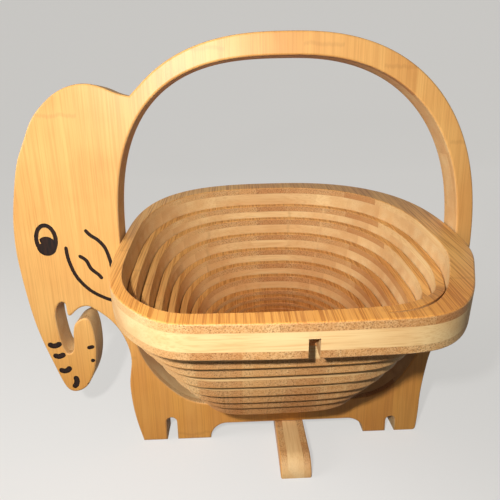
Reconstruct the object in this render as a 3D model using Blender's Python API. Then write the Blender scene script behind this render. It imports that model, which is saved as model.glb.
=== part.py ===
"""Folding fruit basket: an elephant cut from a bamboo board, whose belly swings out and drops into a bowl."""
import math

import bmesh
import bpy

# The board that everything but the steel is cut from.
BOARD = 0.018
NODE_GAP = 0.0003

# The opening in the board, which the bowl folds back into, and the belly left under it.
BELLY_HEIGHT = 0.0246
OPENING_HALF_WIDTH = 0.0975
OPENING_RISE = 0.1063
OPENING_FALL = 0.1016
OPENING_HEIGHT = BELLY_HEIGHT + OPENING_FALL
REAR_UPPER_SQUARENESS = 2.4
FRONT_UPPER_SQUARENESS = 2.85
FRONT_LOWER_SQUARENESS = 3.45
REAR_LOWER_SQUARENESS = 2.65

# The carrying handle round the opening, by its width at the side and at the top.
HANDLE_SIDE_WIDTH = 0.0095
HANDLE_TOP_WIDTH = 0.0119
HANDLE_HALF_WIDTH = OPENING_HALF_WIDTH + HANDLE_SIDE_WIDTH
HANDLE_RISE = OPENING_RISE + HANDLE_TOP_WIDTH
HANDLE_FRONT_SQUARENESS = 2.6
HANDLE_END_DEGREES = 132.0
FRAME_HEIGHT = OPENING_HEIGHT + HANDLE_RISE

# The head stands this far in front of the opening; its points are shares of that reach and of the height.
HEAD_REACH = 0.0595
HEAD_SHARES = (
    (-0.205, 0.875), (-0.089, 0.882), (0.037, 0.895), (0.165, 0.902), (0.297, 0.899), (0.434, 0.886),
    (0.561, 0.863), (0.684, 0.830), (0.783, 0.783), (0.872, 0.734), (0.939, 0.667), (0.985, 0.601),
    (1.000, 0.536), (0.988, 0.479))
TRUNK_SHARES = (
    (0.958, 0.406), (0.918, 0.343), (0.867, 0.291), (0.812, 0.246), (0.753, 0.200), (0.713, 0.174),
    (0.674, 0.161), (0.622, 0.156), (0.566, 0.158), (0.513, 0.165), (0.469, 0.176), (0.422, 0.197),
    (0.383, 0.223), (0.358, 0.254), (0.350, 0.286), (0.355, 0.319), (0.373, 0.344), (0.398, 0.356),
    (0.435, 0.359), (0.494, 0.352), (0.533, 0.343), (0.555, 0.327), (0.565, 0.307), (0.570, 0.286),
    (0.587, 0.271), (0.613, 0.265), (0.647, 0.266), (0.674, 0.278), (0.694, 0.301), (0.708, 0.331),
    (0.716, 0.363), (0.701, 0.383), (0.669, 0.397), (0.630, 0.402))
MOUTH_SHARES = (
    (0.603, 0.397), (0.597, 0.383), (0.592, 0.369), (0.570, 0.366), (0.545, 0.370), (0.496, 0.381),
    (0.439, 0.388), (0.376, 0.389), (0.318, 0.381), (0.244, 0.367), (0.168, 0.349), (0.099, 0.325))
FRONT_LEG_SHARES = (
    (0.047, 0.297), (0.013, 0.266), (0.005, 0.235), (0.024, 0.203), (0.042, 0.172), (0.040, 0.132),
    (0.025, 0.090), (-0.003, 0.049), (-0.032, 0.018), (-0.049, 0.000))
REAR_LEG_SHARES = (
    (0.766, 0.000), (0.781, 0.005), (0.787, 0.025), (0.792, 0.062), (0.794, 0.099), (0.800, 0.135),
    (0.812, 0.176), (0.831, 0.225), (0.867, 0.276), (0.914, 0.331), (0.958, 0.397), (0.989, 0.462))
SPAN_PIECES = 2

# The feet, measured in from the opening's sides: toe slots, and the low arch between front and rear.
ARCH_HEIGHT = 0.0107
FRONT_FOOT_LENGTH = 0.0466
REAR_FOOT_LENGTH = 0.0486
ARCH_FRONT_X = FRONT_FOOT_LENGTH - OPENING_HALF_WIDTH
ARCH_REAR_X = OPENING_HALF_WIDTH - REAR_FOOT_LENGTH
FRONT_TOE_INSET = 0.0216
FRONT_TOE_WIDTH = 0.0067
FRONT_TOE_HEIGHT = 0.0162
REAR_TOE_INSET = 0.0309
REAR_TOE_WIDTH = 0.006
REAR_TOE_HEIGHT = 0.0109
ROUND_PIECES = 6

# The rim hangs on two pins and is shown with its front side swung a little down.
PIVOT_RISE = 0.0011
PIVOT_HEIGHT = OPENING_HEIGHT + PIVOT_RISE
REST_TILT_DEGREES = 7.1
RIM_GAP = 0.0011
PIN_RADIUS = 0.0015
PIN_FIT = 0.0001
PIN_IN_FRAME = 0.006
PIN_IN_RIM = 0.0042
PIN_SIDES = 24
NOTCH_WIDTH = 0.005
NOTCH_HEIGHT = 0.010
NOTCH_REACH = 0.022

# One slanted saw cut winds inwards from the rim and leaves a strip, which drops turn by turn.
STATION_DEGREES = 4.0
STATIONS = 90
CUT_START_DEGREES = -68.0
CUT_SHIFT_X = -0.0053
CUT_SHIFT_Y = -0.0046
FIRST_INSET = 0.0091
PITCH = 0.0054
KERF = 0.0011
WEDGE_GAP = 0.0004
RAMP_STATIONS = 33
RAMP_REACH = 0.051
TURN_DROPS = (0.0125, 0.0088, 0.0104, 0.01, 0.0088, 0.0083, 0.0092, 0.0025, 0.002, 0.0016)
TURNS = len(TURN_DROPS)
LEAN = (KERF - WEDGE_GAP) / max(TURN_DROPS) * BOARD
INNER_UPPER_SQUARENESS = 2.3
INNER_LOWER_SQUARENESS = 3.2

# The foot bar turns on a screw under the belly.
FOOT_HEIGHT = ARCH_HEIGHT - NODE_GAP
SCREW_RADIUS = 0.0011
SCREW_IN_FOOT = 0.0068
SCREW_HEAD_RADIUS = 0.0019
SCREW_HEAD_HEIGHT = 0.0015
SCREW_DOME_SHARES = ((1.0, 0.0), (0.95, 0.45), (0.72, 0.82), (0.38, 0.97))

# Colours of the untreated boards and of the steel.
BOARD_COLOUR = (0.62, 0.36, 0.13, 1.0)
BOWL_COLOUR = (0.66, 0.42, 0.19, 1.0)
STEEL_COLOUR = (0.55, 0.55, 0.55, 1.0)


def clear_scene():
    for thing in list(bpy.data.objects):
        bpy.data.objects.remove(thing)


def wood(name, colour):
    material = bpy.data.materials.new(name)
    material.use_nodes = True
    shader = material.node_tree.nodes["Principled BSDF"]
    shader.inputs["Base Color"].default_value = colour
    shader.inputs["Roughness"].default_value = 0.5
    return material


def steel(name):
    material = wood(name, STEEL_COLOUR)
    shader = material.node_tree.nodes["Principled BSDF"]
    shader.inputs["Metallic"].default_value = 1.0
    shader.inputs["Roughness"].default_value = 0.3
    return material


def finish(name, mesh, material):
    """Turns the finished mesh into a named object with every face looking outwards."""
    bmesh.ops.recalc_face_normals(mesh, faces=mesh.faces)
    data = bpy.data.meshes.new(name)
    mesh.to_mesh(data)
    mesh.free()
    thing = bpy.data.objects.new(name, data)
    bpy.context.collection.objects.link(thing)
    if material:
        data.materials.append(material)
    return thing


def add_loop(mesh, points):
    corners = [mesh.verts.new(point) for point in points]
    for here, there in zip(corners, corners[1:] + corners[:1]):
        mesh.edges.new((here, there))
    return corners


def fill_between(mesh, loops):
    """Fills the flat face that the loops bound, the first one outside and the others holes."""
    edges = []
    for corners in loops:
        edges += [mesh.edges.get(pair) for pair in zip(corners, corners[1:] + corners[:1])]
    bmesh.ops.triangle_fill(mesh, use_beauty=True, edges=edges)


def slab(name, near_loops, far_loops, material):
    """A body between two flat faces, each near loop joined to its far partner by a wall."""
    mesh = bmesh.new()
    near = [add_loop(mesh, loop) for loop in near_loops]
    far = [add_loop(mesh, loop) for loop in far_loops]
    for first, second in zip(near, far):
        for index in range(len(first)):
            mesh.faces.new((first[index - 1], first[index], second[index], second[index - 1]))
    fill_between(mesh, near)
    fill_between(mesh, far)
    return finish(name, mesh, material)


def upright(outline, depth):
    """Places an outline drawn in X and Z on the board's face at that depth."""
    return [(x, depth, z) for x, z in outline]


def catmull_rom(before, here, there, after, share):
    point = []
    for a, b, c, d in zip(before, here, there, after):
        slope = (c - a) * share
        bend = (2.0 * a - 5.0 * b + 4.0 * c - d) * share ** 2
        twist = (3.0 * b - a - 3.0 * c + d) * share ** 3
        point.append(b + (slope + bend + twist) / 2.0)
    return tuple(point)


def smooth_path(points):
    """A smooth curve through the points, each span cut into equal pieces."""
    ends = [points[0]] + list(points) + [points[-1]]
    path = []
    for before, here, there, after in zip(ends, ends[1:], ends[2:], ends[3:]):
        for piece in range(SPAN_PIECES):
            path.append(catmull_rom(before, here, there, after, piece / SPAN_PIECES))
    return path + [points[-1]]


def superellipse(angle, half_width, half_height, squareness):
    """Distance from the centre to a rounded-square outline in the direction of the angle."""
    across = abs(math.cos(angle) / half_width) ** squareness
    along = abs(math.sin(angle) / half_height) ** squareness
    return (across + along) ** (-1.0 / squareness)


def opening_radius(angle, inset):
    """The opening's outline moved inwards; its corners grow rounder towards the base plate."""
    back = math.sin(angle) >= 0.0
    rear = math.cos(angle) >= 0.0
    upper = REAR_UPPER_SQUARENESS if rear else FRONT_UPPER_SQUARENESS
    lower = REAR_LOWER_SQUARENESS if rear else FRONT_LOWER_SQUARENESS
    squareness = upper if back else lower
    inner = INNER_UPPER_SQUARENESS if back else INNER_LOWER_SQUARENESS
    share = inset / (FIRST_INSET + PITCH * TURNS)
    squareness += (inner - squareness) * min(share, 1.0)
    half_height = OPENING_RISE if back else OPENING_FALL
    return superellipse(angle, OPENING_HALF_WIDTH - inset, half_height - inset, squareness)


def station_angle(station):
    return math.radians(CUT_START_DEGREES + STATION_DEGREES * station)


def opening_outline(inset, centre):
    outline = []
    for station in range(STATIONS):
        angle = station_angle(station)
        radius = opening_radius(angle, inset)
        outline.append((radius * math.cos(angle), centre + radius * math.sin(angle)))
    return outline


def head_points(shares):
    return [(-OPENING_HALF_WIDTH - reach * HEAD_REACH, height * FRAME_HEIGHT) for reach, height in shares]


def arc(centre_x, centre_z, radius, start, end):
    """Points on an arc, from the start angle to the end angle in degrees."""
    points = []
    for piece in range(ROUND_PIECES + 1):
        angle = math.radians(start + (end - start) * piece / ROUND_PIECES)
        points.append((centre_x + radius * math.cos(angle), centre_z + radius * math.sin(angle)))
    return points


def toe_slot(middle, width, height):
    radius = width / 2.0
    top = arc(middle, height - radius, radius, 180.0, 0.0)
    return [(middle - radius, 0.0)] + top + [(middle + radius, 0.0)]


def bar_outline(front_end, rear_end, height):
    """A low bar's outline over the table, rounded down to its two ends."""
    front = arc(front_end + height, 0.0, height, 180.0, 90.0)
    rear = arc(rear_end - height, 0.0, height, 90.0, 0.0)
    return front + rear


def handle_arc():
    """The handle's outer edge from the pivot at the rear, over the top, to the head."""
    count = round(HANDLE_END_DEGREES / STATION_DEGREES)
    points = []
    for station in range(count):
        angle = math.radians(STATION_DEGREES * station)
        rear = math.cos(angle) >= 0.0
        squareness = REAR_UPPER_SQUARENESS if rear else HANDLE_FRONT_SQUARENESS
        radius = superellipse(angle, HANDLE_HALF_WIDTH, HANDLE_RISE, squareness)
        points.append((radius * math.cos(angle), OPENING_HEIGHT + radius * math.sin(angle)))
    return points


def elephant_outline():
    front = smooth_path(head_points(HEAD_SHARES + TRUNK_SHARES + MOUTH_SHARES + FRONT_LEG_SHARES))
    feet = toe_slot(FRONT_TOE_INSET - OPENING_HALF_WIDTH, FRONT_TOE_WIDTH, FRONT_TOE_HEIGHT)
    feet += bar_outline(ARCH_FRONT_X, ARCH_REAR_X, ARCH_HEIGHT)
    feet += toe_slot(OPENING_HALF_WIDTH - REAR_TOE_INSET, REAR_TOE_WIDTH, REAR_TOE_HEIGHT)
    rear_points = [(reach * HANDLE_HALF_WIDTH, height * FRAME_HEIGHT) for reach, height in REAR_LEG_SHARES]
    rear = smooth_path(rear_points + [(HANDLE_HALF_WIDTH, OPENING_HEIGHT)])
    return handle_arc() + front + feet + rear[:-1]


def cut(thing, cutters):
    """Takes the cutters out of the thing and keeps them out of sight."""
    for cutter in cutters:
        cutter.hide_render = True
        cutter.display_type = "WIRE"
        modifier = thing.modifiers.new(cutter.name, "BOOLEAN")
        modifier.operation = "DIFFERENCE"
        modifier.solver = "EXACT"
        modifier.object = cutter


def turned(name, profile, sides, material):
    """A round body about Z; the profile runs from its lowest point to its highest, radius and height."""
    mesh = bmesh.new()
    rings = []
    for radius, height in profile:
        angles = [math.tau * side / sides for side in range(sides)]
        rings.append(add_loop(mesh, [(radius * math.cos(a), radius * math.sin(a), height) for a in angles]))
    for lower, upper in zip(rings, rings[1:]):
        for side in range(sides):
            mesh.faces.new((lower[side - 1], lower[side], upper[side], upper[side - 1]))
    mesh.faces.new(rings[0])
    mesh.faces.new(rings[-1])
    thing = finish(name, mesh, material)
    thing.data.shade_smooth()
    return thing


def rod_along_x(name, start, end, radius, material):
    """A round rod on the pivot line from one X to the other."""
    profile = ((radius, start), (radius, end))
    rod = turned(name, profile, PIN_SIDES, material)
    rod.rotation_euler = (0.0, math.pi / 2.0, 0.0)
    rod.location = (0.0, 0.0, PIVOT_HEIGHT)
    return rod


def pin_side(side, frame_reach, rim_reach, radius, name, material):
    """A rod across the gap between frame and rim, on the side given as -1 or 1."""
    outer = side * (OPENING_HALF_WIDTH + frame_reach)
    inner = side * (OPENING_HALF_WIDTH - RIM_GAP - rim_reach)
    return rod_along_x(name, min(outer, inner), max(outer, inner), radius, material)


def pivot_pins(frame, rim):
    """Both pins, with a tight hole for each in the frame and a running hole in the rim."""
    material = steel("pin_steel")
    for side, word in ((-1, "left"), (1, "right")):
        pin_side(side, PIN_IN_FRAME, PIN_IN_RIM, PIN_RADIUS, "pivot_pin_" + word, material)
        socket = (PIN_IN_FRAME + NODE_GAP, PIN_IN_RIM, PIN_RADIUS + NODE_GAP)
        bore = (PIN_IN_FRAME, PIN_IN_RIM + NODE_GAP, PIN_RADIUS + PIN_FIT)
        cut(frame, [pin_side(side, *socket, "frame_socket_" + word, None)])
        cut(rim, [pin_side(side, *bore, "rim_bore_" + word, None)])


def inset_at(turns):
    """How far the cut's outer side has come in from the opening's edge after that many turns."""
    return FIRST_INSET + PITCH * turns


def cut_point(angle, inset):
    radius = opening_radius(angle, inset)
    return CUT_SHIFT_X + radius * math.cos(angle), CUT_SHIFT_Y + radius * math.sin(angle)


def level(points, height):
    return [(x, y, height) for x, y in points]


def bowl_axis():
    """The line through both pins, tilted as the bowl rests."""
    axis = bpy.data.objects.new("bowl_axis", None)
    axis.location = (0.0, 0.0, PIVOT_HEIGHT)
    axis.rotation_euler = (math.radians(REST_TILT_DEGREES), 0.0, 0.0)
    bpy.context.collection.objects.link(axis)
    return axis


def rim_inner(extra):
    """The rim's inner edge, one pass of the cut, which ends a pitch further in where the strip begins."""
    points = []
    for station in range(STATIONS + 1):
        points.append(cut_point(station_angle(station), inset_at(station / STATIONS) + extra))
    return points


def notch_cutter(axis):
    """The notch at the front of the rim's lower edge, which clears the screw's head when folded."""
    mesh = bmesh.new()
    bmesh.ops.create_cube(mesh, size=1.0)
    bmesh.ops.scale(mesh, vec=(NOTCH_WIDTH, NOTCH_REACH, NOTCH_HEIGHT * 2.0), verts=mesh.verts)
    bmesh.ops.translate(mesh, vec=(0.0, -OPENING_FALL, -BOARD / 2.0), verts=mesh.verts)
    cutter = finish("notch_cutter", mesh, None)
    cutter.parent = axis
    return cutter


def build_rim(axis):
    centre = OPENING_HEIGHT - PIVOT_HEIGHT
    outer = opening_outline(RIM_GAP, centre)
    top = [level(outer, BOARD / 2.0), level(rim_inner(0.0), BOARD / 2.0)]
    bottom = [level(outer, -BOARD / 2.0), level(rim_inner(LEAN), -BOARD / 2.0)]
    rim = slab("rim", top, bottom, wood("rim_bamboo", BOWL_COLOUR))
    rim.parent = axis
    cut(rim, [notch_cutter(axis)])
    return rim


def smoothstep(share):
    share = min(max(share, 0.0), 1.0)
    return share * share * (3.0 - 2.0 * share)


def ramp_ends(turn):
    """Where along Y the strip starts to slope down from the turn before, and where it is fully down."""
    start = cut_point(station_angle(0), inset_at(turn + 1))[1]
    return start, start + RAMP_REACH


def strip_corner(turn, station, inset, height):
    """A corner of the strip's section, lowered by the turns before and by this turn's ramp."""
    x, y = cut_point(station_angle(station), inset)
    start, end = ramp_ends(turn)
    share = smoothstep((y - start) / (end - start)) if station < RAMP_STATIONS else 1.0
    drop = sum(TURN_DROPS[:turn]) + TURN_DROPS[turn] * share
    return x, y, height - drop


def strip_section(turn, station):
    """Outer top, inner top, inner bottom and outer bottom corners, leaning as the blade was set."""
    outer = inset_at(turn + station / STATIONS) + KERF
    inner = inset_at(turn + 1 + station / STATIONS)
    insets = (outer, inner, inner + LEAN, outer + LEAN)
    heights = (BOARD / 2.0, BOARD / 2.0, -BOARD / 2.0, -BOARD / 2.0)
    return [strip_corner(turn, station, inset, height) for inset, height in zip(insets, heights)]


def gap_station(turn):
    """The part of a station that leaves one node gap along the strip's inner edge."""
    x, y = cut_point(station_angle(0), inset_at(turn + 1))
    radius = math.hypot(x - CUT_SHIFT_X, y - CUT_SHIFT_Y)
    return math.degrees(NODE_GAP / radius) / STATION_DEGREES


def build_turn(turn, material, axis):
    stations = [gap_station(turn)] + list(range(1, STATIONS + 1))
    mesh = bmesh.new()
    rings = [add_loop(mesh, strip_section(turn, station)) for station in stations]
    for first, second in zip(rings, rings[1:]):
        for corner in range(len(first)):
            mesh.faces.new((first[corner - 1], first[corner], second[corner], second[corner - 1]))
    mesh.faces.new(rings[0])
    mesh.faces.new(rings[-1])
    thing = finish("spiral_turn_" + str(turn + 1), mesh, material)
    thing.parent = axis


def base_loop(extra):
    points = []
    gap = gap_station(TURNS)
    stations = [gap] + list(range(1, STATIONS + 1)) + [STATIONS + gap]
    for station in stations:
        inset = inset_at(TURNS + station / STATIONS) + KERF + extra
        points.append(cut_point(station_angle(station), inset))
    return points


def build_base(axis):
    drop = sum(TURN_DROPS)
    top = level(base_loop(0.0), BOARD / 2.0 - drop)
    bottom = level(base_loop(LEAN), -BOARD / 2.0 - drop)
    base = slab("base_plate", [top], [bottom], wood("base_bamboo", BOWL_COLOUR))
    base.parent = axis


def build_frame():
    outline = elephant_outline()
    opening = opening_outline(0.0, OPENING_HEIGHT)
    front = [upright(outline, -BOARD / 2.0), upright(opening, -BOARD / 2.0)]
    back = [upright(outline, BOARD / 2.0), upright(opening, BOARD / 2.0)]
    return slab("elephant_frame", front, back, wood("frame_bamboo", BOARD_COLOUR))


def foot_half_length():
    """As long as still turns inside the arch without its corners touching the rear leg."""
    reach = ARCH_REAR_X - NODE_GAP
    return math.sqrt(reach ** 2 - (BOARD / 2.0) ** 2)


def build_foot():
    half = foot_half_length()
    outline = bar_outline(-half, half, FOOT_HEIGHT)
    near = [(-BOARD / 2.0, y, z) for y, z in outline]
    far = [(BOARD / 2.0, y, z) for y, z in outline]
    return slab("foot", [near], [far], wood("foot_bamboo", BOARD_COLOUR))


def foot_screw(frame, foot):
    """The screw that the foot turns on, driven down through the belly."""
    belly_top = BELLY_HEIGHT + NODE_GAP
    tip = FOOT_HEIGHT - SCREW_IN_FOOT
    dome = [(SCREW_HEAD_RADIUS * r, belly_top + SCREW_HEAD_HEIGHT * h) for r, h in SCREW_DOME_SHARES]
    profile = [(SCREW_RADIUS, tip), (SCREW_RADIUS, belly_top)] + dome
    turned("foot_screw", profile, PIN_SIDES, steel("screw_steel"))
    through = ((SCREW_RADIUS + NODE_GAP, 0.0), (SCREW_RADIUS + NODE_GAP, belly_top + BOARD))
    cut(frame, [turned("belly_hole", through, PIN_SIDES, None)])
    running = ((SCREW_RADIUS + PIN_FIT, tip - NODE_GAP), (SCREW_RADIUS + PIN_FIT, belly_top))
    cut(foot, [turned("foot_bore", running, PIN_SIDES, None)])


def build():
    clear_scene()
    frame = build_frame()
    axis = bowl_axis()
    rim = build_rim(axis)
    pivot_pins(frame, rim)
    material = wood("turn_bamboo", BOWL_COLOUR)
    for turn in range(TURNS):
        build_turn(turn, material, axis)
    build_base(axis)
    foot_screw(frame, build_foot())


build()
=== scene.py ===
"""The dressed folding basket: a bamboo elephant whose spiral-cut belly has dropped into a bowl."""
import math

import bmesh
import bpy
import numpy as np
from mathutils import Matrix


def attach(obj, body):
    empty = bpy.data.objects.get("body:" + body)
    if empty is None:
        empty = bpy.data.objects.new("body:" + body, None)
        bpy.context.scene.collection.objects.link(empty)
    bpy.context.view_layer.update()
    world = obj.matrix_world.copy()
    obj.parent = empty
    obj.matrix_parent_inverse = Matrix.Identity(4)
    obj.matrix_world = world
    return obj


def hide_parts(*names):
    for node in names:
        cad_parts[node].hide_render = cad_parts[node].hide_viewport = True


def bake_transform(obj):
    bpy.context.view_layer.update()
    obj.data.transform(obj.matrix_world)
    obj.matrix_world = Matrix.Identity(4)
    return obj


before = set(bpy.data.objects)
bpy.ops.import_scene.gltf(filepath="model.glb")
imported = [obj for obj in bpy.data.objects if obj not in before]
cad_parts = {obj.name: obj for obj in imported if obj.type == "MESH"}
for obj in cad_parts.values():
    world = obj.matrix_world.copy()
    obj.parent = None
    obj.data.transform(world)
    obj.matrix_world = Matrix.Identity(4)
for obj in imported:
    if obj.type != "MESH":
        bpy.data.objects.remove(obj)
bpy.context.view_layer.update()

# The elephant board. It is one piece of three-layer bamboo ply, sawn to the outline with the handle, and
# its edges are rounded over. Every other wooden piece is sawn from the same board, so all share its
# layers and grain, which are laid out in flat-board millimetres: along it, up it and through it.
BOARD = 0.018
HALF_BOARD = BOARD / 2
OPENING_HEIGHT = 0.1262
OPENING_HALF_WIDTH = 0.0975
OPENING_RISE, OPENING_FALL = 0.1063, 0.1016
REAR_UPPER_SQUARENESS, FRONT_UPPER_SQUARENESS = 2.4, 2.85
REAR_LOWER_SQUARENESS, FRONT_LOWER_SQUARENESS = 2.65, 3.45
HANDLE_HALF_WIDTH, HANDLE_RISE = 0.107, 0.1182
HANDLE_FRONT_SQUARENESS, HANDLE_END_DEGREES = 2.6, 132
FRAME_HEIGHT = OPENING_HEIGHT + HANDLE_RISE
HEAD_REACH = 0.0595
OUTLINE_STEP_DEGREES, OUTLINE_PIECES = 1.5, 4
EDGE_ROUNDING, ROUNDING_STEPS, MITRE_LIMIT = 0.0012, 5, 0.6
SHARP_EDGE = math.radians(50)
# The head's points are shares of its reach past the opening and of the board's height, and the rear leg's
# are shares of the handle's half width and of the board's height.
HEAD_SHARES = np.array((
    (-0.205, 0.875), (-0.089, 0.882), (0.037, 0.895), (0.165, 0.902), (0.297, 0.899), (0.434, 0.886),
    (0.561, 0.863), (0.684, 0.830), (0.783, 0.783), (0.872, 0.734), (0.939, 0.667), (0.985, 0.601),
    (1.000, 0.536), (0.988, 0.479), (0.958, 0.406), (0.918, 0.343), (0.867, 0.291), (0.812, 0.246),
    (0.753, 0.200), (0.713, 0.174), (0.674, 0.161), (0.622, 0.156), (0.566, 0.158), (0.513, 0.165),
    (0.469, 0.176), (0.422, 0.197), (0.383, 0.223), (0.358, 0.254), (0.350, 0.286), (0.355, 0.319),
    (0.373, 0.344), (0.398, 0.356), (0.435, 0.359), (0.494, 0.352), (0.533, 0.343), (0.555, 0.327),
    (0.565, 0.307), (0.570, 0.286), (0.587, 0.271), (0.613, 0.265), (0.647, 0.266), (0.674, 0.278),
    (0.694, 0.301), (0.708, 0.331), (0.716, 0.363), (0.701, 0.383), (0.669, 0.397), (0.630, 0.402),
    (0.603, 0.397), (0.597, 0.383), (0.592, 0.369), (0.570, 0.366), (0.545, 0.370), (0.496, 0.381),
    (0.439, 0.388), (0.376, 0.389), (0.318, 0.381), (0.244, 0.367), (0.168, 0.349), (0.099, 0.325),
    (0.047, 0.297), (0.013, 0.266), (0.005, 0.235), (0.024, 0.203), (0.042, 0.172), (0.040, 0.132),
    (0.025, 0.090), (-0.003, 0.049), (-0.032, 0.018), (-0.049, 0.000)))
REAR_LEG_SHARES = np.array((
    (0.766, 0.000), (0.781, 0.005), (0.787, 0.025), (0.792, 0.062), (0.794, 0.099), (0.800, 0.135),
    (0.812, 0.176), (0.831, 0.225), (0.867, 0.276), (0.914, 0.331), (0.958, 0.397), (0.989, 0.462)))
ARCH_HEIGHT, ARCH_HALF_WIDTH, ARCH_SHIFT = 0.0107, 0.0499, -0.001
FRONT_TOE, REAR_TOE = (-0.0759, 0.0067, 0.0162), (0.0666, 0.006, 0.0109)
# The saw line changes on its way in to the base plate, which it reaches at this inset. At the opening it is
# fuller or flatter than its curve at three places: their middle and width in degrees, and share of radius.
CUT_REACH = 0.0631
INNER_UPPER_SQUARENESS, INNER_REAR_SQUARENESS, INNER_FRONT_SQUARENESS = 2.3, 3.2, 4.9
CORNER_SHARES = ((-59, 12, 0.049), (-34, 11, -0.024), (-122, 8, 0.026))


def superellipse(angle, half_width, half_height, squareness):
    """The radius at which |cos / half width|^n + |sin / half height|^n is 1, n being the squareness."""
    across = np.abs(np.cos(angle) / half_width) ** squareness
    return (across + np.abs(np.sin(angle) / half_height) ** squareness) ** (-1 / squareness)


def opening_radius(angle, inset):
    """A superellipse made smaller by the inset, with its own height and squareness in each quarter.

    The squareness moves evenly to its inner value on the way in. Each corner share adds its part of the
    radius over a bell curve of angles, and evenly less of it on the way in."""
    back, rear = np.sin(angle) >= 0, np.cos(angle) >= 0
    upper = np.where(rear, REAR_UPPER_SQUARENESS, FRONT_UPPER_SQUARENESS)
    lower = np.where(rear, REAR_LOWER_SQUARENESS, FRONT_LOWER_SQUARENESS)
    inner_lower = np.where(rear, INNER_REAR_SQUARENESS, INNER_FRONT_SQUARENESS)
    squareness = np.where(back, upper, lower)
    further_in = np.minimum(inset / CUT_REACH, 1.0)
    inner_squareness = np.where(back, INNER_UPPER_SQUARENESS, inner_lower)
    squareness = squareness + (inner_squareness - squareness) * further_in
    half_height = np.where(back, OPENING_RISE, OPENING_FALL) - inset
    radius = superellipse(angle, OPENING_HALF_WIDTH - inset, half_height, squareness)
    degrees = (np.degrees(angle) + 180) % 360 - 180
    fuller = sum(share * np.exp(-(((degrees - middle) / width) ** 2))
                 for middle, width, share in CORNER_SHARES)
    return radius * (1 + fuller * (1 - further_in))


def smooth_outline(points, pieces):
    """Catmull-Rom: between each two points a cubic whose end slopes come from their neighbours."""
    held = np.vstack([points[:1], points, points[-1:]])
    a, b, c, d = (held[i:len(held) - 3 + i, None] for i in range(4))
    s = (np.arange(pieces) / pieces)[None, :, None]
    curve = b + ((c - a) * s + (2 * a - 5 * b + 4 * c - d) * s**2 + (3 * b - a - 3 * c + d) * s**3) / 2
    return np.vstack([curve.reshape(-1, 2), points[-1:]])


def arc(x, z, radius, start, end, pieces=10):
    """Circle about x, z: radius times cosine and sine, from the start to the end angle in degrees."""
    angle = np.radians(np.linspace(start, end, pieces + 1))
    return np.stack([x + radius * np.cos(angle), z + radius * np.sin(angle)], 1)


def toe_slot(middle, width, height):
    """Straight up from the sole, half a circle of the slot's width over the top, and straight down."""
    slot = arc(middle, height - width / 2, width / 2, 180, 0)
    return np.vstack([[(slot[0, 0], 0)], slot, [(slot[-1, 0], 0)]])


def low_arch(front, rear, height):
    """A flat top that falls to the sole over a quarter circle at each end, its radius the height."""
    return np.vstack([arc(front + height, 0, height, 180, 90), arc(rear - height, 0, height, 90, 0)])


def elephant_outline():
    """Once round from the handle's rear: a superellipse up to the head, smooth lines through the points
    of the head and of the rear leg, and between them the sole with its two slots and the arch."""
    angle = np.radians(np.arange(0, HANDLE_END_DEGREES, OUTLINE_STEP_DEGREES))
    squareness = np.where(np.cos(angle) >= 0, REAR_UPPER_SQUARENESS, HANDLE_FRONT_SQUARENESS)
    radius = superellipse(angle, HANDLE_HALF_WIDTH, HANDLE_RISE, squareness)
    handle = np.stack([radius * np.cos(angle), OPENING_HEIGHT + radius * np.sin(angle)], 1)
    head = HEAD_SHARES * (-HEAD_REACH, FRAME_HEIGHT) - (OPENING_HALF_WIDTH, 0)
    head = smooth_outline(head, OUTLINE_PIECES)
    rear = np.vstack([REAR_LEG_SHARES * (HANDLE_HALF_WIDTH, FRAME_HEIGHT), [handle[0]]])
    arch = low_arch(ARCH_SHIFT - ARCH_HALF_WIDTH, ARCH_SHIFT + ARCH_HALF_WIDTH, ARCH_HEIGHT)
    rear = smooth_outline(rear, OUTLINE_PIECES)[:-1]
    return np.vstack([handle, head, toe_slot(*FRONT_TOE), arch, toe_slot(*REAR_TOE), rear])


def opening_outline(inset):
    """Once round at even angles: the opening's radius times cosine and sine about its middle."""
    angle = np.radians(np.arange(0, 360, OUTLINE_STEP_DEGREES))
    radius = opening_radius(angle, inset)
    return np.stack([radius * np.cos(angle), OPENING_HEIGHT + radius * np.sin(angle)], 1)


def rounded_wall(outline_at, rounding, share=1.0):
    """A grid: the outline at each depth carried through the board, flat-board along, up and through.

    Near both faces it is moved to its left, along the mean of its two edges' normals, by a quarter
    circle times the share."""
    quarter = np.radians(np.linspace(0, 90, ROUNDING_STEPS))
    inward = rounding * (1 - np.sin(quarter))
    through = -HALF_BOARD + rounding * (1 - np.cos(quarter))
    steps, depths = np.concatenate([inward, inward[::-1]]), np.concatenate([through, -through[::-1]])
    rows = []
    for step, depth in zip(steps, depths):
        outline = outline_at(depth)
        ahead = np.roll(outline, -1, 0) - outline
        ahead = np.stack([-ahead[:, 1], ahead[:, 0]], 1) / np.linalg.norm(ahead, axis=1)[:, None]
        behind = np.roll(ahead, 1, 0)
        mitre = (ahead + behind) / np.maximum(1 + (ahead * behind).sum(1), MITRE_LIMIT)[:, None]
        moved = outline + mitre * np.broadcast_to(step * share, len(outline))[:, None]
        rows.append(np.column_stack([moved, np.full(len(moved), depth)]))
    return np.stack(rows)


def grid_quads(rows, columns):
    """Corner numbers of a grid's squares, its last column joined to its first."""
    row, column = np.arange(rows - 1)[:, None], np.arange(columns)[None]
    ahead = (column + 1) % columns
    corners = (row * columns + column, row * columns + ahead, (row + 1) * columns + ahead)
    return np.stack(corners + ((row + 1) * columns + column,), -1).reshape(-1, 4)


def stand(points):
    """Flat-board points to the upright board, or back: up and through change places, so that up is Z."""
    return np.stack([points[:, 0], points[:, 2], points[:, 1]], 1)


def add_piece(name, mesh, material):
    """Puts the mesh in the scene as it is, with one material; its place is already in its points."""
    piece = bpy.data.objects.new(name, mesh)
    bpy.context.collection.objects.link(piece)
    mesh.materials.append(material)
    return piece


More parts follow.
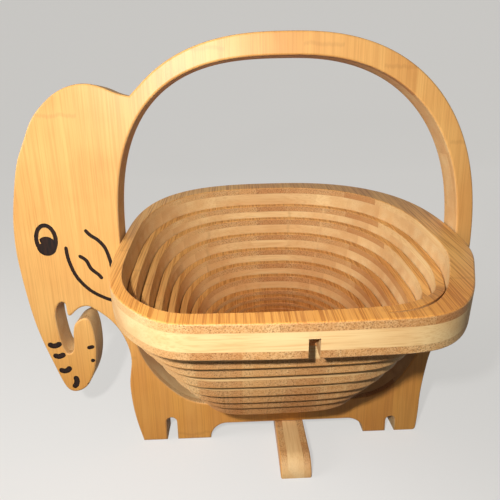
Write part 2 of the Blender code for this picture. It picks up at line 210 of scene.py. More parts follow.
def store_board_place(mesh, flatten):
    """Keeps each point's flat-board millimetres, and how far its wall faces up the board, from 0 to 1.

    The second is the upward share of the wall's normal after the part through the board is left out."""
    points, normals = (np.empty(len(mesh.vertices) * 3, np.float32) for _ in range(2))
    mesh.vertices.foreach_get("co", points)
    mesh.vertex_normals.foreach_get("vector", normals)
    points, normals = points.reshape(-1, 3).astype(float), normals.reshape(-1, 3)
    flat = flatten(points)
    facing = flatten(points + normals) - flat
    upward = np.abs(facing[:, 1]) / np.maximum(np.hypot(facing[:, 0], facing[:, 1]), 1e-6)
    place = mesh.attributes.new("board_mm", "FLOAT_VECTOR", "POINT")
    place.data.foreach_set("vector", (flat * 1000).astype(np.float32).ravel())
    share = mesh.attributes.new("faces_up_board", "FLOAT", "POINT")
    share.data.foreach_set("value", upward.astype(np.float32))


def face_outward(mesh, clean=False):
    """Turns every face outwards, after welding points that fall together where that is asked for."""
    work = bmesh.new()
    work.from_mesh(mesh)
    if clean:
        bmesh.ops.remove_doubles(work, verts=work.verts, dist=1e-6)
    bmesh.ops.recalc_face_normals(work, faces=work.faces)
    work.to_mesh(mesh)
    work.free()


def sawn_mesh(name, walls, put):
    """Closes a sawn shape: the wall grids, and flat triangles between their front and their back ends."""
    points, quads, count = [], [], 0
    for wall in walls:
        points.append(put(wall.reshape(-1, 3)))
        quads.append(grid_quads(*wall.shape[:2]) + count)
        count += wall.shape[0] * wall.shape[1]
    mesh = bpy.data.meshes.new(name)
    mesh.from_pydata(np.vstack(points).tolist(), [], np.vstack(quads).tolist())
    work = bmesh.new()
    work.from_mesh(mesh)
    work.edges.ensure_lookup_table()
    ends = [edge for edge in work.edges if edge.is_boundary]
    front, start = set(), 0
    for wall in walls:
        front.update(range(start, start + wall.shape[1]))
        start += wall.shape[0] * wall.shape[1]
    for side in (True, False):
        chosen = [edge for edge in ends if (edge.verts[0].index in front) == side]
        bmesh.ops.triangle_fill(work, use_beauty=True, edges=chosen)
    work.to_mesh(mesh)
    work.free()
    face_outward(mesh)
    return mesh


def smooth_sides(piece):
    """Shades the rounded edges softly and the flat faces flat."""
    piece.data.shade_smooth()
    piece.data.set_sharp_from_angle(angle=SHARP_EDGE)
    weighted = piece.modifiers.new("flat_faces_stay_flat", "WEIGHTED_NORMAL")
    weighted.keep_sharp = True


def cut_away(piece, cutter):
    """Takes the cutter out of the piece for good; the cut's walls keep the cutter's material."""
    modifier = piece.modifiers.new("cut", "BOOLEAN")
    modifier.operation, modifier.solver, modifier.object = "DIFFERENCE", "EXACT", cutter
    modifier.material_mode = "TRANSFER"
    graph = bpy.context.evaluated_depsgraph_get()
    made = bpy.data.meshes.new_from_object(piece.evaluated_get(graph))
    piece.modifiers.clear()
    piece.data = made
    bpy.data.objects.remove(cutter)


def linear(colour):
    """sRGB hex to linear: below 0.04045 divided by 12.92, above it a power of 2.4."""
    values = [int(colour[i:i + 2], 16) / 255 for i in (1, 3, 5)]
    return tuple(v / 12.92 if v <= 0.04045 else ((v + 0.055) / 1.055) ** 2.4 for v in values) + (1.0,)


def add_node(tree, kind, inputs=(), **settings):
    """Adds one shader node, with its settings, and its inputs as values or links, by place or by name.

    It returns the node's first output that is in use, if it has any."""
    node = tree.nodes.new("ShaderNode" + kind)
    for name, value in settings.items():
        setattr(node, name, value)
    named = inputs if isinstance(inputs, dict) else dict(enumerate(inputs))
    for socket, value in named.items():
        if isinstance(value, bpy.types.NodeSocket):
            tree.links.new(value, node.inputs[socket])
        else:
            node.inputs[socket].default_value = value
    return next((output for output in node.outputs if output.enabled), None)


def new_material(name):
    """A material with an empty node tree."""
    material = bpy.data.materials.new(name)
    material.use_nodes = True
    material.node_tree.nodes.clear()
    return material, material.node_tree


# Bamboo ply. Both face layers, a quarter of the thickness each, have their grain up the board and the
# middle layer has it along the board. So a wall shows end grain in one layer as dull brown specks and side
# grain in the next as pale streaks, and the faces show fine upright streaks. Fibre bundles are 0.3 mm in
# the real wood, and drawn at 0.6 mm, and at 1.2 mm as specks, so that they show: patterns are given as
# grains per millimetre, and drawn out along their layer's grain by a small share. The layers are glued up
# from canes about 20 mm wide, each with its own tone and a faint line where it had a knot: each entry
# holds where one starts, its darkness, and where its knot line runs.
FRONT_CANES = (
    (-180, 0.3, 30), (-137, 0.2, 205), (-116, 0.4, 60), (-96, 0.3, 105), (-75, 0.15, 4), (-53, 0.3, 236),
    (-34, 0.15, 170), (-15, 0.6, 14), (6, 0.45, 238), (27, 0.55, 33), (49, 1.0, 226), (67, 0.2, 60),
    (88, 0.5, 186))
BACK_CANES = (
    (-180, 0.4, 90), (-137, 0.2, 180), (-96, 0.35, 20), (-75, 0.3, 130), (-53, 0.7, 210), (-31, 0.25, 76),
    (-9, 0.6, 44), (8, 0.2, 230), (19, 0.35, 120), (36, 0.15, 60), (58, 0.35, 20), (80, 0.3, 150))
MIDDLE_CANES = (
    (-20, 0.3, -60), (22, 0.15, 70), (44, 0.25, -8), (64, 0.1, 60), (84, 0.2, -95), (104, 0.1, -84),
    (125, 0.2, 88), (146, 0.1, -70), (165, 0.0, 30), (178, 0.35, -52), (200, 0.2, 10), (211, 0.4, 60))
CANES_START, CANES_SPAN = -200.0, 500.0
LAYER_JOINT_MM, SKIN_MM = (4.7, 4.5), (8.2, 8.8)
FIBRES_PER_MM, STREAKS_PER_MM, SPECKS_PER_MM, DRIFTS_PER_MM, CLOUDS_PER_MM = 1.6, 1.5, 0.85, 0.12, 0.03
FACE_STRETCH, MIDDLE_STRETCH = (1.0, 0.015, 1.0), (0.025, 1.0, 1.0)
WALL_ROUGHNESS, FACE_ROUGHNESS = 0.62, 0.42
# Painted shade: the face colour darkens and warms below the first span, in mm up the board, and the bowl
# darkens towards the given middle within the second span, in mm from it.
LOW_SHADE_BELOW_MM, DEPTH_SHADE_MM, DEPTH_SHADE_MIDDLE_MM = (95.0, 35.0), (85.0, 32.0), (-5.0, 121.0, 0.0)
KNOT_LINE_MM, DRIFT_SWAY, FIBRE_SWAY = (1.6, 0.3), 5.0, 2.0
MEAN_SWAY = (DRIFT_SWAY + FIBRE_SWAY) / 2
SMOOTH = {"interpolation_type": "SMOOTHSTEP"}
COLOURS, TINT = {"data_type": "RGBA"}, {"data_type": "RGBA", "blend_type": "MULTIPLY"}


def cane_of(tree, place, canes):
    """Constant steps over the board: the darkness and the knot line's place of the cane at this place."""
    from_start = add_node(tree, "Math", (place, -CANES_START), operation="ADD")
    share = add_node(tree, "Math", (from_start, CANES_SPAN), operation="DIVIDE")
    ramp = add_node(tree, "ValToRGB", (share,)).node
    ramp.color_ramp.interpolation = "CONSTANT"
    stops = ramp.color_ramp.elements
    while len(stops) < len(canes):
        stops.new(0.5)
    for stop, (start, darkness, knot) in zip(stops, canes):
        stop.position = (start - CANES_START) / CANES_SPAN
    for stop, (start, darkness, knot) in zip(stops, canes):
        stop.color = (darkness, (knot - CANES_START) / CANES_SPAN, 0, 1)
    return add_node(tree, "SeparateColor", (ramp.outputs[0],)).node.outputs


def bamboo_ply(name, dark_streak, depth_shade_share):
    """Mixes the looks of face, side grain and end grain over the board's depth and its walls' facing.

    The grain runs along the board up to 4.5 mm from its middle and up the board beyond, and the outer half
    millimetre shows the face. A wall shows end grain by the square of how far it faces along its layer's
    grain. Over that lie the canes' darkness, slow drifts of tone, knot lines, a painted shade that darkens
    and warms the face colour from 95 mm down to 35 mm up the board, and a painted shade, a warm brown, which
    grows from 85 mm to 32 mm from the bowl's middle, where the inside of the bowl lies in shade."""
    material, tree = new_material(name)
    vector = add_node(tree, "Attribute", attribute_name="board_mm").node.outputs["Vector"]
    upward = add_node(tree, "Attribute", attribute_name="faces_up_board").node.outputs["Fac"]
    along, up, through = add_node(tree, "SeparateXYZ", (vector,)).node.outputs
    depth = add_node(tree, "Math", (through,), operation="ABSOLUTE")
    middle = add_node(tree, "MapRange", (depth, *LAYER_JOINT_MM), **SMOOTH)
    skin = add_node(tree, "MapRange", (depth, *SKIN_MM), **SMOOTH)
    facing = add_node(tree, "Math", (upward, upward), operation="MULTIPLY")
    facing_along = add_node(tree, "Math", (1.0, facing), operation="SUBTRACT")
    end_grain = add_node(tree, "Mix", {0: middle, 2: facing, 3: facing_along})

    face_grain = add_node(tree, "VectorMath", (vector, FACE_STRETCH), operation="MULTIPLY")
    middle_grain = add_node(tree, "VectorMath", (vector, MIDDLE_STRETCH), operation="MULTIPLY")
    grain = add_node(tree, "Mix", {0: middle, 4: face_grain, 5: middle_grain}, data_type="VECTOR")
    fibre, streak = (
        add_node(tree, "TexNoise", {"Vector": grain, "Scale": per_mm, "Detail": 2.0, "Roughness": 0.6})
        for per_mm in (FIBRES_PER_MM, STREAKS_PER_MM))
    drift = add_node(tree, "TexNoise", {"Vector": grain, "Scale": DRIFTS_PER_MM, "Detail": 1.0})
    cloud = add_node(tree, "TexNoise", {"Vector": vector, "Scale": CLOUDS_PER_MM, "Detail": 2.0})
    speck = add_node(tree, "TexVoronoi", {"Vector": grain, "Scale": SPECKS_PER_MM, "Randomness": 1.0})

    front, back = cane_of(tree, along, FRONT_CANES), cane_of(tree, along, BACK_CANES)
    core = cane_of(tree, up, MIDDLE_CANES)
    is_back = add_node(tree, "Math", (through, 0.0), operation="GREATER_THAN")
    cane_darkness, cane_knot = (
        add_node(tree, "Mix", {
            0: middle, 2: add_node(tree, "Mix", {0: is_back, 2: front[i], 3: back[i]}), 3: core[i]})
        for i in (0, 1))
    run = add_node(tree, "Mix", {0: middle, 2: up, 3: along})
    for sway, reach in ((drift, DRIFT_SWAY), (fibre, FIBRE_SWAY)):
        run = add_node(tree, "Math", (sway, reach, run), operation="MULTIPLY_ADD")
    knot_place = add_node(
        tree, "Math", (cane_knot, CANES_SPAN, CANES_START + MEAN_SWAY), operation="MULTIPLY_ADD")
    from_knot = add_node(tree, "Math", (run, knot_place), operation="SUBTRACT")
    from_knot = add_node(tree, "Math", (from_knot,), operation="ABSOLUTE")
    knot = add_node(tree, "MapRange", (from_knot, *KNOT_LINE_MM), **SMOOTH)
    knot = add_node(tree, "Math", (knot, 0.16), operation="MULTIPLY")

    face, side, end = (
        add_node(tree, "Mix", {
            0: add_node(tree, "MapRange", (pattern, low, high), **SMOOTH),
            6: linear(dark), 7: linear(pale)}, **COLOURS)
        for pattern, low, high, dark, pale in (
            (streak, 0.36, 0.58, dark_streak, "#ECB76B"),
            (streak, 0.3, 0.56, "#E9C387", "#F6D79C"),
            (fibre, 0.36, 0.6, "#BE9058", "#E3BC84")))
    # Painted shade: below 95 mm up the board, and fully by 35 mm, the face colour is multiplied by a pale
    # warm tone. This stands in for the shade under the bowl, so the legs and lower belly look darker and more
    # orange.
    painted_low_shade = add_node(tree, "MapRange", (up, *LOW_SHADE_BELOW_MM), **SMOOTH)
    face = add_node(tree, "Mix", {0: painted_low_shade, 6: face, 7: linear("#F0DDBA")}, **TINT)
    specks = add_node(tree, "MapRange", (speck, 0.4, 0.16, 0.0, 0.7), **SMOOTH)
    end = add_node(tree, "Mix", {0: specks, 6: end, 7: linear("#7A5430")}, **COLOURS)
    paler = add_node(tree, "Math", (middle, 0.75), operation="MULTIPLY")
    end = add_node(tree, "Mix", {0: paler, 6: end, 7: linear("#F4D49C")}, **COLOURS)
    wall = add_node(tree, "Mix", {0: end_grain, 6: side, 7: end}, **COLOURS)
    colour = add_node(tree, "Mix", {0: skin, 6: wall, 7: face}, **COLOURS)

    cane_share = add_node(tree, "MapRange", (skin, 0.0, 1.0, 0.6, 0.25), **SMOOTH)
    across_board = add_node(tree, "VectorMath", (vector, (1.0, 1.0, 0.0)), operation="MULTIPLY")
    from_middle = add_node(tree, "VectorMath", (across_board, DEPTH_SHADE_MIDDLE_MM), operation="DISTANCE")
    from_middle = from_middle.node.outputs["Value"]
    # Painted shade: from 85 mm to 32 mm from the bowl's middle, more and more of the colour is multiplied by
    # a warm brown (#C89A68 below), because the deep inside of the bowl lies in shade. The board takes none of
    # it.
    painted_depth_shade = add_node(tree, "MapRange", (from_middle, *DEPTH_SHADE_MM, 0.0, depth_shade_share), **SMOOTH)
    for share, over, how in (
            (add_node(tree, "MapRange", (drift, 0.35, 0.65, 0.0, 0.3), **SMOOTH), "#D79A55", COLOURS),
            (add_node(tree, "Math", (cane_darkness, cane_share), operation="MULTIPLY"), "#C08A55", TINT),
            (add_node(tree, "MapRange", (cloud, 0.35, 0.7, 0.0, 0.2), **SMOOTH), "#D9A35C", TINT),
            (knot, "#8A5A2E", COLOURS), (painted_depth_shade, "#C89A68", TINT)):
        colour = add_node(tree, "Mix", {0: share, 6: colour, 7: linear(over)}, **how)

    bump = add_node(tree, "Bump", {"Strength": 0.15, "Distance": 0.0003, "Height": fibre})
    rough = add_node(tree, "MapRange", (skin, 0.0, 1.0, WALL_ROUGHNESS, FACE_ROUGHNESS), **SMOOTH)
    shader = add_node(tree, "BsdfPrincipled", {
        "Base Color": colour, "Roughness": rough, "Normal": bump, "IOR": 1.5, "Specular IOR Level": 0.35})
    add_node(tree, "OutputMaterial", {"Surface": shader})
    return material


# The board is finished with a satin lacquer: bright honey-coloured faces with a soft sheen, and duller
# sawn walls.
board_ply = bamboo_ply("lacquered_bamboo_ply", "#DEA860", 0.0)
outline_wall = rounded_wall(lambda depth: elephant_outline(), EDGE_ROUNDING)
opening_wall = rounded_wall(lambda depth: opening_outline(0.0)[::-1], EDGE_ROUNDING)
elephant_mesh = sawn_mesh("elephant_board", [outline_wall, opening_wall], stand)
elephant = add_piece("elephant_board", elephant_mesh, board_ply)


# The eye, ear, folds of the trunk and its tip are burnt into the front face by a laser, about half a
# millimetre deep, which leaves a dark brown groove.
BURN_DEPTH = 0.0005
DEEP, PROUD = -HALF_BOARD + BURN_DEPTH, -HALF_BOARD - BURN_DEPTH
FACE_WIDTH, FOLD_WIDTH, DASH_WIDTH = 0.0021, 0.0034, 0.0025
FACE_LINES = (
    ((-0.1166, 0.1422), (-0.1139, 0.1389), (-0.1097, 0.1357), (-0.1062, 0.1310), (-0.1041, 0.1237),
     (-0.1036, 0.1190)),
    ((-0.1284, 0.1326), (-0.1276, 0.1239), (-0.1242, 0.1140), (-0.1176, 0.1057), (-0.1099, 0.1007),
     (-0.1040, 0.0984)),
    ((-0.1218, 0.1270), (-0.1178, 0.1239), (-0.1155, 0.1189), (-0.1114, 0.1148), (-0.1096, 0.1122)))
TRUNK_FOLDS = (
    ((-0.1466, 0.0720), (-0.1438, 0.0702), (-0.1408, 0.0708), (-0.1390, 0.0724)),
    ((-0.1443, 0.0645), (-0.1418, 0.0630), (-0.1393, 0.0636), (-0.1373, 0.0649)),
    ((-0.1420, 0.0545), (-0.1394, 0.0530), (-0.1368, 0.0536), (-0.1351, 0.0559)),
    ((-0.1331, 0.0492), (-0.1323, 0.0460), (-0.1333, 0.0429), (-0.1353, 0.0416)))
TRUNK_DASHES = (
    ((-0.1235, 0.0680), (-0.1191, 0.0690)), ((-0.1222, 0.0590), (-0.1198, 0.0600)),
    ((-0.1253, 0.0442), (-0.1248, 0.0424)))
EYE_CENTRE, EYE_HALF_SIZE, EYE_LINE = (-0.1389, 0.1370), np.array((0.0066, 0.0094)), 0.0024
PUPIL_CENTRE, PUPIL_RADIUS, EYE_STEP_DEGREES = (-0.1390, 0.1330), 0.0057, 5
GLINT_BITE, GLINT_PLACE, GLINT_WIDTH = 0.4, math.radians(150), 0.22
STROKE_PIECES, STROKE_BLUNTNESS = 8, 0.03


def burn_stroke(line, width):
    """A prism along a smooth line, its section a rectangle through the board's face.

    Near both ends half its width follows a circle of the line's own width, as a round pen leaves it."""
    path = smooth_outline(np.array(line), STROKE_PIECES)
    step = np.gradient(path, axis=0)
    side = np.stack([-step[:, 1], step[:, 0]], 1) / np.linalg.norm(step, axis=1)[:, None]
    run = np.concatenate([[0], np.cumsum(np.linalg.norm(np.diff(path, axis=0), axis=1))])
    near_end = np.minimum(run, run[-1] - run) / (width / 2)
    half = width / 2 * np.sqrt(1 - (1 - np.clip(near_end, STROKE_BLUNTNESS, 1)) ** 2)
    left, right = path + side * half[:, None], path - side * half[:, None]
    corners = [np.column_stack([edge, np.full(len(edge), level)])
               for edge, level in ((left, DEEP), (left, PROUD), (right, PROUD), (right, DEEP))]
    return np.stack(corners, 1)


def burn_pupil():
    """A disc's wall, its radius less a bell curve of angles at the upper left, where the eye's glint is."""
    angle = np.radians(np.arange(0, 360, EYE_STEP_DEGREES))
    radius = PUPIL_RADIUS * (1 - GLINT_BITE * np.exp(-(((angle - GLINT_PLACE) / GLINT_WIDTH) ** 2)))
    rim = np.array(PUPIL_CENTRE) + np.stack([np.cos(angle), np.sin(angle)], 1) * radius[:, None]
    return np.stack([np.column_stack([rim, np.full(len(rim), level)]) for level in (PROUD, DEEP)])


def burn_ring(centre, outer, inner):
    """A closed prism between two ellipses, its section a rectangle carried round."""
    angle = np.radians(np.arange(0, 360, EYE_STEP_DEGREES))
    turn = np.stack([np.cos(angle), np.sin(angle)], 1)
    corners = [np.column_stack([np.array(centre) + turn * radii, np.full(len(turn), level)])
               for radii, level in ((outer, DEEP), (outer, PROUD), (inner, PROUD), (inner, DEEP))]
    return np.stack(corners, 1)


def prism_mesh(name, grids, closed):
    """Grids of closed sections to one mesh, each run closed on itself or capped at both ends."""
    points, faces, count = [], [], 0
    for grid in grids:
        rows, columns = grid.shape[:2]
        if closed:
            grid = np.concatenate([grid, grid[:1]])
            rows += 1
        points.append(stand(grid.reshape(-1, 3)))
        faces += (grid_quads(rows, columns) + count).tolist()
        if not closed:
            faces += [list(range(count, count + columns))]
            faces += [list(range(count + (rows - 1) * columns, count + rows * columns))]
        count += rows * columns
    mesh = bpy.data.meshes.new(name)
    mesh.from_pydata(np.vstack(points).tolist(), [], faces)
    face_outward(mesh, clean=True)
    return mesh


# Wood charred by a laser is a very dark, nearly matt brown. The fibres that it leaves, drawn at 0.8 mm, show
# as fine upright streaks.
def charred_bamboo(name):
    """Two dark browns and a fine relief, by a noise drawn out ten times up the board."""
    material, tree = new_material(name)
    vector = add_node(tree, "Attribute", attribute_name="board_mm").node.outputs["Vector"]
    stretched = add_node(tree, "VectorMath", (vector, (1.0, 0.1, 1.0)), operation="MULTIPLY")
    ash = add_node(tree, "TexNoise", {"Vector": stretched, "Scale": 1.2, "Detail": 3.0})
    browner = add_node(tree, "MapRange", (ash, 0.35, 0.7), **SMOOTH)
    colour = add_node(tree, "Mix", {0: browner, 6: linear("#150A05"), 7: linear("#2E180D")}, **COLOURS)
    bump = add_node(tree, "Bump", {"Strength": 0.3, "Distance": 0.0003, "Height": ash})
    shader = add_node(tree, "BsdfPrincipled", {
        "Base Color": colour, "Roughness": 0.65, "Normal": bump, "IOR": 1.5, "Specular IOR Level": 0.25})
    add_node(tree, "OutputMaterial", {"Surface": shader})
    return material


char = charred_bamboo("laser_charred_bamboo")
strokes = [burn_stroke(line, width) for lines, width in (
    (FACE_LINES, FACE_WIDTH), (TRUNK_FOLDS, FOLD_WIDTH), (TRUNK_DASHES, DASH_WIDTH)) for line in lines]
strokes = prism_mesh("burnt_strokes", strokes, False)
cut_away(elephant, add_piece("burnt_strokes", strokes, char))
ring = burn_ring(EYE_CENTRE, EYE_HALF_SIZE, EYE_HALF_SIZE - EYE_LINE)
ring = prism_mesh("burnt_ring", [ring], True)
cut_away(elephant, add_piece("burnt_ring", ring, char))
pupil = sawn_mesh("burnt_pupil", [burn_pupil()], stand)
cut_away(elephant, add_piece("burnt_pupil", pupil, char))
store_board_place(elephant.data, stand)
smooth_sides(elephant)
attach(elephant, "frame")
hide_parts("elephant_frame")


# The two pins that the bowl swings on and the screw that the foot turns on. They are bright steel. The
# pins, 3 mm thick, sit blind in the board and turn in the rim, so only their middles show, in the gap
# between the two. The solids already have these shapes, so they only get the steel's look.
GRAIN_PER_METRE = 3000.0


def bright_steel(name):
    """Pale metal, its gloss varied by a noise with grains of a third of a millimetre, as on drawn steel."""
    material, tree = new_material(name)
    here = add_node(tree, "TexCoord").node.outputs["Object"]
    grains = add_node(tree, "TexNoise", {"Vector": here, "Scale": GRAIN_PER_METRE, "Detail": 2.0})
    rough = add_node(tree, "MapRange", (grains, 0.3, 0.7, 0.22, 0.4), **SMOOTH)
    shader = add_node(tree, "BsdfPrincipled", {
        "Base Color": linear("#C4C2BE"), "Metallic": 1.0, "Roughness": rough})
    add_node(tree, "OutputMaterial", {"Surface": shader})
    return material


steel = bright_steel("bright_drawn_steel")
for fitting in ("pivot_pin_left", "pivot_pin_right", "foot_screw"):
    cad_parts[fitting].data.materials.clear()
    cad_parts[fitting].data.materials.append(steel)


# The rim, the outermost ring of the belly. It is sawn free of the board all round, and on its inner side
# by the first turn of the slanted spiral cut, and it hangs on the pins with its front a little low.
# A notch in its lower front edge clears the foot's screw when the bowl is folded away.
PIVOT_HEIGHT = 0.1273
REST_TILT = math.radians(7.1)
RIM_GAP = 0.0011
# The spiral cut winds in by the pitch each turn about its own middle, from a start low down at the rear. Its
# lean through the board brings the walls of the turn that drops deepest to within the wedge gap.
CUT_START = math.radians(-68)
CUT_SHIFT = np.array((-0.0053, PIVOT_HEIGHT - 0.0046))
FIRST_INSET, PITCH, KERF, WEDGE_GAP = 0.0091, 0.0054, 0.0011, 0.0004
TURN_DROPS = np.array((0.0125, 0.0088, 0.0104, 0.01, 0.0088, 0.0083, 0.0092, 0.0025, 0.002, 0.0016))
LEAN = (KERF - WEDGE_GAP) / TURN_DROPS.max() * BOARD
RIM_ROUNDING = 0.0009
RIM_PIECES, STEP_PIECES = 240, 2
NOTCH_WIDTH, NOTCH_REACH, NOTCH_HEIGHT = 0.005, 0.011, 0.010
# The bowl is oiled and not lacquered. Its streaks are darker than the board's, and a painted shade makes
# its inside a deeper, warmer brown towards its middle.
bowl_ply = bamboo_ply("oiled_bamboo_ply", "#BC8240", 0.85)


def hang(flat, drop=0.0):
    """Flat-board points to the bowl. Up the board becomes backwards, and through it becomes downwards.

    What is dropped goes further down, and all of it is then turned about the pins by the tilt."""
    forward, height = flat[:, 1] - PIVOT_HEIGHT, -flat[:, 2] - drop
    c, s = math.cos(REST_TILT), math.sin(REST_TILT)
    return np.stack([flat[:, 0], forward * c - height * s, PIVOT_HEIGHT + forward * s + height * c], 1)


def unhang(points, drop=0.0):
    """The inverse of hang."""
    y, z = points[:, 1], points[:, 2] - PIVOT_HEIGHT
    c, s = math.cos(REST_TILT), math.sin(REST_TILT)
    return np.stack([points[:, 0], PIVOT_HEIGHT + y * c + z * s, y * s - z * c - drop], 1)


def cut_points(turns, inset):
    """Points of the spiral cut after that many turns: the opening's radius, less the inset, about the cut's
    own centre."""
    angle = CUT_START + math.tau * turns
    radius = opening_radius(angle, inset)
    return CUT_SHIFT + np.stack([radius * np.cos(angle), radius * np.sin(angle)], -1)


def notch_cutter():
    """A box through the rim's front wall, 5 mm wide, from below the lower edge to 10 mm above it."""
    box = np.array([(x, y, z) for x in (-1, 1) for y in (-1, 1) for z in (-1, 1)], float)
    box *= (NOTCH_WIDTH / 2, NOTCH_REACH, NOTCH_HEIGHT)
    flat = box + (0, OPENING_HEIGHT - OPENING_FALL, HALF_BOARD)
    mesh = bpy.data.meshes.new("notch")
    faces = [(0, 1, 3, 2), (4, 6, 7, 5), (0, 4, 5, 1), (2, 3, 7, 6), (0, 2, 6, 4), (1, 5, 7, 3)]
    mesh.from_pydata(hang(flat).tolist(), [], faces)
    face_outward(mesh)
    return add_piece("notch", mesh, bowl_ply)


def cut_pass(turns, first_inset, depth):
    """One pass of the spiral cut from first_inset on, moved in evenly by the lean as it goes deeper."""
    return cut_points(turns, first_inset + PITCH * turns + LEAN * (depth + HALF_BOARD) / BOARD)


def fade_at_step(pieces):
    """Places round one turn, and the share of rounding there: none at the step where the turn ends beside
    its own start, and all of it from two pieces away."""
    place = np.linspace(0, 1, pieces + 1)
    return place, np.clip(np.minimum(place, 1 - place) * pieces / STEP_PIECES, 0, 1)


first_turn, rim_fade = fade_at_step(RIM_PIECES)
rim_outside = rounded_wall(lambda depth: opening_outline(RIM_GAP), RIM_ROUNDING)
rim_inside = rounded_wall(
    lambda depth: cut_pass(first_turn, FIRST_INSET, depth)[::-1], RIM_ROUNDING / 2, rim_fade)
rim = add_piece("bowl_rim", sawn_mesh("bowl_rim", [rim_outside, rim_inside], hang), bowl_ply)
cut_away(rim, notch_cutter())
store_board_place(rim.data, unhang)
smooth_sides(rim)
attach(rim, "rim")
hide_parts("rim")


# The strip of oiled ply that the spiral cut leaves, one continuous springy piece from the rim to the base.
# Each turn drops until its slanted wall wedges in the turn outside it. It is drawn turn by turn: the first
# 132 degrees bend down from the turn before, and the rest is level.
RAMP_REACH = 0.051
BEND_TURNS = 132 / 360
STRIP_ROUNDING, CORNER_POINTS = 0.00035, 4
BEND_STATIONS, RUN_STATIONS = 89, 153


def strip_section():
    """A rectangle with quarter circles for corners: how far in from the outer wall, and through the board."""
    corner = np.radians(np.linspace(0, 90, CORNER_POINTS))
    width, r = PITCH - KERF, STRIP_ROUNDING
    sine, cosine = r * np.sin(corner), r * np.cos(corner)
    across = np.concatenate([r - cosine, width - r + sine, width - r + cosine, r - sine])
    through = np.concatenate([r - sine, r - cosine, BOARD - r + sine, BOARD - r + cosine]) - HALF_BOARD
    return across, through


def ramp_ends(turn):
    """How far up the flat board the turn starts to slope down, and where it is fully down: the height of
    the cut's start one turn on, and that plus the ramp's reach."""
    start = cut_points(np.zeros(1), FIRST_INSET + PITCH * (turn + 1))[0, 1]
    return start, start + RAMP_REACH


def strip_grid(turn, start, end, stations):
    """A stretch of strip on the flat board: share along the turn by place round the section.

    The cut's point at the inset, which grows with the turns gone, the place across and the lean."""
    across, through = strip_section()
    share = np.linspace(start, end, stations)[:, None]
    lean = LEAN * (through + HALF_BOARD) / BOARD
    inset = FIRST_INSET + KERF + PITCH * (turn + share) + (across + lean)[None]
    flat = cut_points(np.broadcast_to(share, inset.shape), inset)
    return np.concatenate([flat, np.broadcast_to(through[None, :, None], inset.shape + (1,))], 2)


def strip_piece(name, turn, grid, sloping):
    """Closes a stretch at both ends and hangs it, dropped by all the turns outside it and its own drop.

    A sloping one takes its own drop by a smooth step up the flat board between the ramp's ends."""
    rows, columns = grid.shape[:2]
    flat = grid.reshape(-1, 3)
    low, high = ramp_ends(turn)
    share = np.clip((flat[:, 1] - low) / (high - low), 0, 1) if sloping else np.ones(len(flat))
    drop = TURN_DROPS[:turn].sum() + TURN_DROPS[turn] * share ** 2 * (3 - 2 * share)
    ends = [list(range(columns)), list(range((rows - 1) * columns, rows * columns))]
    mesh = bpy.data.meshes.new(name)
    mesh.from_pydata(hang(flat, drop).tolist(), [], grid_quads(rows, columns).tolist() + ends)
    face_outward(mesh)
    store_board_place(mesh, lambda points: unhang(points, drop))
    piece = add_piece(name, mesh, bowl_ply)
    smooth_sides(piece)
    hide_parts(f"spiral_turn_{turn + 1}")
    return piece


# The bends blend from one turn's body to the next over the ramp, along the tilted rim from front to back.
for turn in range(len(TURN_DROPS)):
    slope = strip_grid(turn, 0.0, BEND_TURNS, BEND_STATIONS)
    bend = strip_piece(f"strip_bend_{turn + 1}", turn, slope, True)
    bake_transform(bend)
    level_run = strip_grid(turn, BEND_TURNS, 1.0, RUN_STATIONS)
    run = strip_piece(f"strip_run_{turn + 1}", turn, level_run, False)
    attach(run, f"turn_{turn + 1}")


# The base plate, the middle of the spiral and the bowl's floor, of the same oiled ply. The strip's last
# turn runs into it and carries it, so it lies level with that turn.
FLOOR_PIECES = 180
last_turn, floor_fade = fade_at_step(FLOOR_PIECES)
base_drop = TURN_DROPS.sum()
base_inset = FIRST_INSET + KERF + PITCH * len(TURN_DROPS)
base_wall = rounded_wall(lambda depth: cut_pass(last_turn, base_inset, depth), STRIP_ROUNDING, floor_fade)
base_mesh = sawn_mesh("base_floor", [base_wall], lambda flat: hang(flat, base_drop))
base = add_piece("base_floor", base_mesh, bowl_ply)
store_board_place(base.data, lambda points: unhang(points, base_drop))
smooth_sides(base)
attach(base, "turn_10")
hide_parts("base_plate")


# The foot bar, lacquered ply sawn out of the arch under the belly, so that it closes the arch when it is
# turned in. It turns on a round-headed steel screw driven down through the belly. It is as long as the
# turning corners leave room for in the arch.
FOOT_GAP = 0.0003
FOOT_HEIGHT = ARCH_HEIGHT - FOOT_GAP
FOOT_HALF_LENGTH = math.sqrt((ARCH_HALF_WIDTH + ARCH_SHIFT - FOOT_GAP) ** 2 - HALF_BOARD ** 2)


def lay_across(flat):
    """Flat-board points to the foot standing across the board: along is Y, through is X and up is Z."""
    return np.stack([flat[:, 2], flat[:, 0], flat[:, 1]], 1)


foot_outline = low_arch(-FOOT_HALF_LENGTH, FOOT_HALF_LENGTH, FOOT_HEIGHT)[::-1]
foot_wall = rounded_wall(lambda depth: foot_outline, RIM_ROUNDING)
foot = add_piece("foot_bar", sawn_mesh("foot_bar", [foot_wall], lay_across), board_ply)
store_board_place(foot.data, lambda points: np.roll(points, -1, axis=1))
smooth_sides(foot)
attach(foot, "foot")
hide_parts("foot")


# The studio: a floor of matt paper that curves up into the backdrop, a small near lamp just above and left
# of the camera, a window's soft light from the left, and a pale surround that fills the shadows a little.
# The paper looks pale mostly by a glow that only the eye gets, and throws little light on the basket.
SWEEP_FRONT, SWEEP_BACK, SWEEP_TOP, SWEEP_HALF_WIDTH = -5.0, 2.1, 4.0, 5.0
SWEEP_RADIUS, SWEEP_PIECES = 0.9, 24
PAPER_GLOW, WORLD_SEEN, WORLD_FILL, PALE = 0.6, 0.75, 0.13, "#F4F2EE"


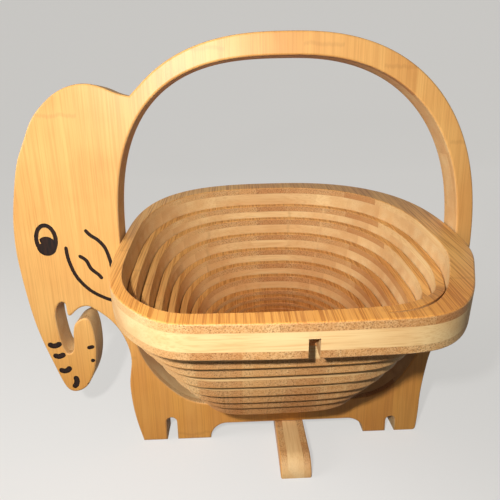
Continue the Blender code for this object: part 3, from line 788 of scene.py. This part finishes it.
def seen_directly(tree):
    """1 for rays that show a surface to the eye, straight, in a gloss or through glass, and 0 for others."""
    path = add_node(tree, "LightPath").node.outputs
    seen = add_node(tree, "Math", (path["Is Camera Ray"], path["Is Glossy Ray"]), operation="MAXIMUM")
    return add_node(tree, "Math", (seen, path["Is Transmission Ray"]), operation="MAXIMUM")


def matt_paper(name):
    """A rough surface with a glow, both chosen by whether the ray shows it to the eye."""
    material, tree = new_material(name)
    seen = seen_directly(tree)
    colour = add_node(tree, "Mix", {0: seen, 6: linear("#3A3836"), 7: linear("#888684")}, **COLOURS)
    glow = add_node(tree, "Math", (seen, PAPER_GLOW), operation="MULTIPLY")
    shader = add_node(tree, "BsdfPrincipled", {
        "Base Color": colour, "Roughness": 0.9, "Emission Color": linear(PALE), "Emission Strength": glow})
    add_node(tree, "OutputMaterial", {"Surface": shader})
    return material


sweep = arc(SWEEP_BACK - SWEEP_RADIUS, SWEEP_RADIUS, SWEEP_RADIUS, -90, 0, SWEEP_PIECES)
sweep = np.vstack([[(SWEEP_FRONT, 0.0)], sweep, [(SWEEP_BACK, SWEEP_TOP)]])
sheet = [(side, y, z) for side in (-SWEEP_HALF_WIDTH, SWEEP_HALF_WIDTH) for y, z in sweep]
sheet_quads = [(i, i + len(sweep), i + len(sweep) + 1, i + 1) for i in range(len(sweep) - 1)]
paper_mesh = bpy.data.meshes.new("paper_sweep")
paper_mesh.from_pydata(sheet, [], sheet_quads)
paper_mesh.shade_smooth()
paper = add_piece("paper_sweep", paper_mesh, matt_paper("matt_studio_paper"))

world = bpy.data.worlds.new("surround")
bpy.context.scene.world = world
world.use_nodes = True
seen = seen_directly(world.node_tree)
strength = add_node(world.node_tree, "Math", (seen, WORLD_SEEN, WORLD_FILL), operation="MULTIPLY_ADD")
surround = world.node_tree.nodes["Background"].inputs
surround["Color"].default_value = linear(PALE)
world.node_tree.links.new(strength, surround["Strength"])

key_lamp = bpy.data.lights.new("key", "SPOT")
key_lamp.energy, key_lamp.shadow_soft_size = 4.7, 0.008
key_lamp.spot_size, key_lamp.spot_blend = math.radians(130), 1.0
window_lamp = bpy.data.lights.new("window", "AREA")
window_lamp.energy, window_lamp.size = 2.2, 0.3
for lamp, place, target in (
        (key_lamp, (-0.085, -0.30, 0.255), (-0.07, 0.0, 0.15)),
        (window_lamp, (-0.60, -0.14, 0.37), (0.0, 0.0, 0.12))):
    holder = bpy.data.objects.new(lamp.name, lamp)
    bpy.context.collection.objects.link(holder)
    back = np.array(place) - target
    back /= np.linalg.norm(back)
    side = np.cross((0, 0, 1), back)
    side /= np.linalg.norm(side)
    turn_to = np.column_stack([side, np.cross(back, side), back, place])
    holder.matrix_world = Matrix(np.vstack([turn_to, (0, 0, 0, 1)]).tolist())

# The camera, where the photograph was taken from. Its place is in metres and its three angles in radians:
# it looks ahead by the yaw and down by the pitch, and is then turned about that line by the roll.
CAMERA_PLACE, CAMERA_LENS = (-0.0311, -0.2791, 0.20675), 34.915
YAW, PITCH_DOWN, ROLL = 0.0298, 0.2861, 0.0210
level_share = math.cos(PITCH_DOWN)
ahead = np.array((math.sin(YAW) * level_share, math.cos(YAW) * level_share, -math.sin(PITCH_DOWN)))
level_right = np.array((math.cos(YAW), -math.sin(YAW), 0.0))
level_down = np.cross(ahead, level_right)
right = math.cos(ROLL) * level_right + math.sin(ROLL) * level_down
down = math.cos(ROLL) * level_down - math.sin(ROLL) * level_right
camera = bpy.data.objects.new("camera", bpy.data.cameras.new("camera"))
camera.data.lens = CAMERA_LENS
camera.data.clip_start = 0.01
bpy.context.collection.objects.link(camera)
turn_to = np.column_stack([right, -down, -ahead, CAMERA_PLACE])
camera.matrix_world = Matrix(np.vstack([turn_to, (0, 0, 0, 1)]).tolist())
bpy.context.scene.camera = camera
bpy.context.scene.view_settings.view_transform = "Standard"
